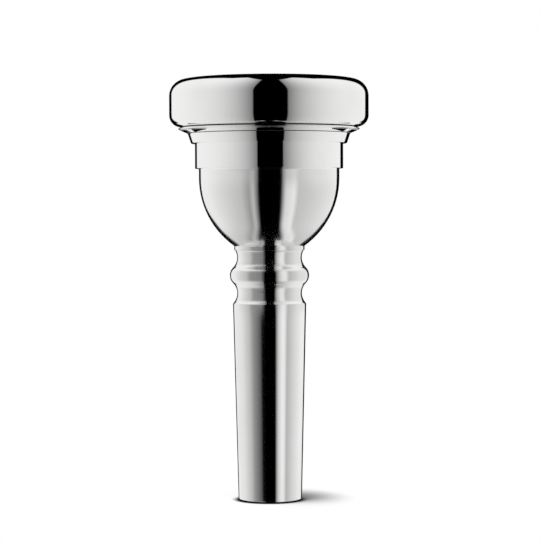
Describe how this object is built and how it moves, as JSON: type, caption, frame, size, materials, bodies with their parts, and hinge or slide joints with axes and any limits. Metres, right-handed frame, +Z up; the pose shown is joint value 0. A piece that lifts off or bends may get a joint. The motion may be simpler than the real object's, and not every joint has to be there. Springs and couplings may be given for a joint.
{
  "type": "trombone mouthpiece",
  "caption": "Silver-plated brass mouthpiece for a large-shank trombone: crowned rim screwed on a bowl-shaped cup, over a beaded neck and a tapered shank.",
  "frame": {"origin": "centre of the shank's end face, on the axis of the bore", "axes": "+Z runs up the bore to the rim; the part is round, so X and Y are any two directions square to it"},
  "size_m": [0.039, 0.039, 0.0825],
  "materials": {
    "rim_plating": "silver plate on brass, mirror polished",
    "cup_plating": "silver plate on brass, bright with fine turning lines",
    "shank_plating": "silver plate on brass, bright with fine turning lines"
  },
  "bodies": {
    "shank": {"shank": "shank_plating"},
    "cup": {"cup": "cup_plating"},
    "rim": {"rim": "rim_plating"}
  },
  "joints": [
    {"name": "cup_lift", "type": "slide", "parent": "shank", "child": "cup", "axis": [0, 0, 1], "range_m": [0, 0.02]},
    {"name": "rim_lift", "type": "slide", "parent": "cup", "child": "rim", "axis": [0, 0, 1], "range_m": [0, 0.015]}
  ]
}
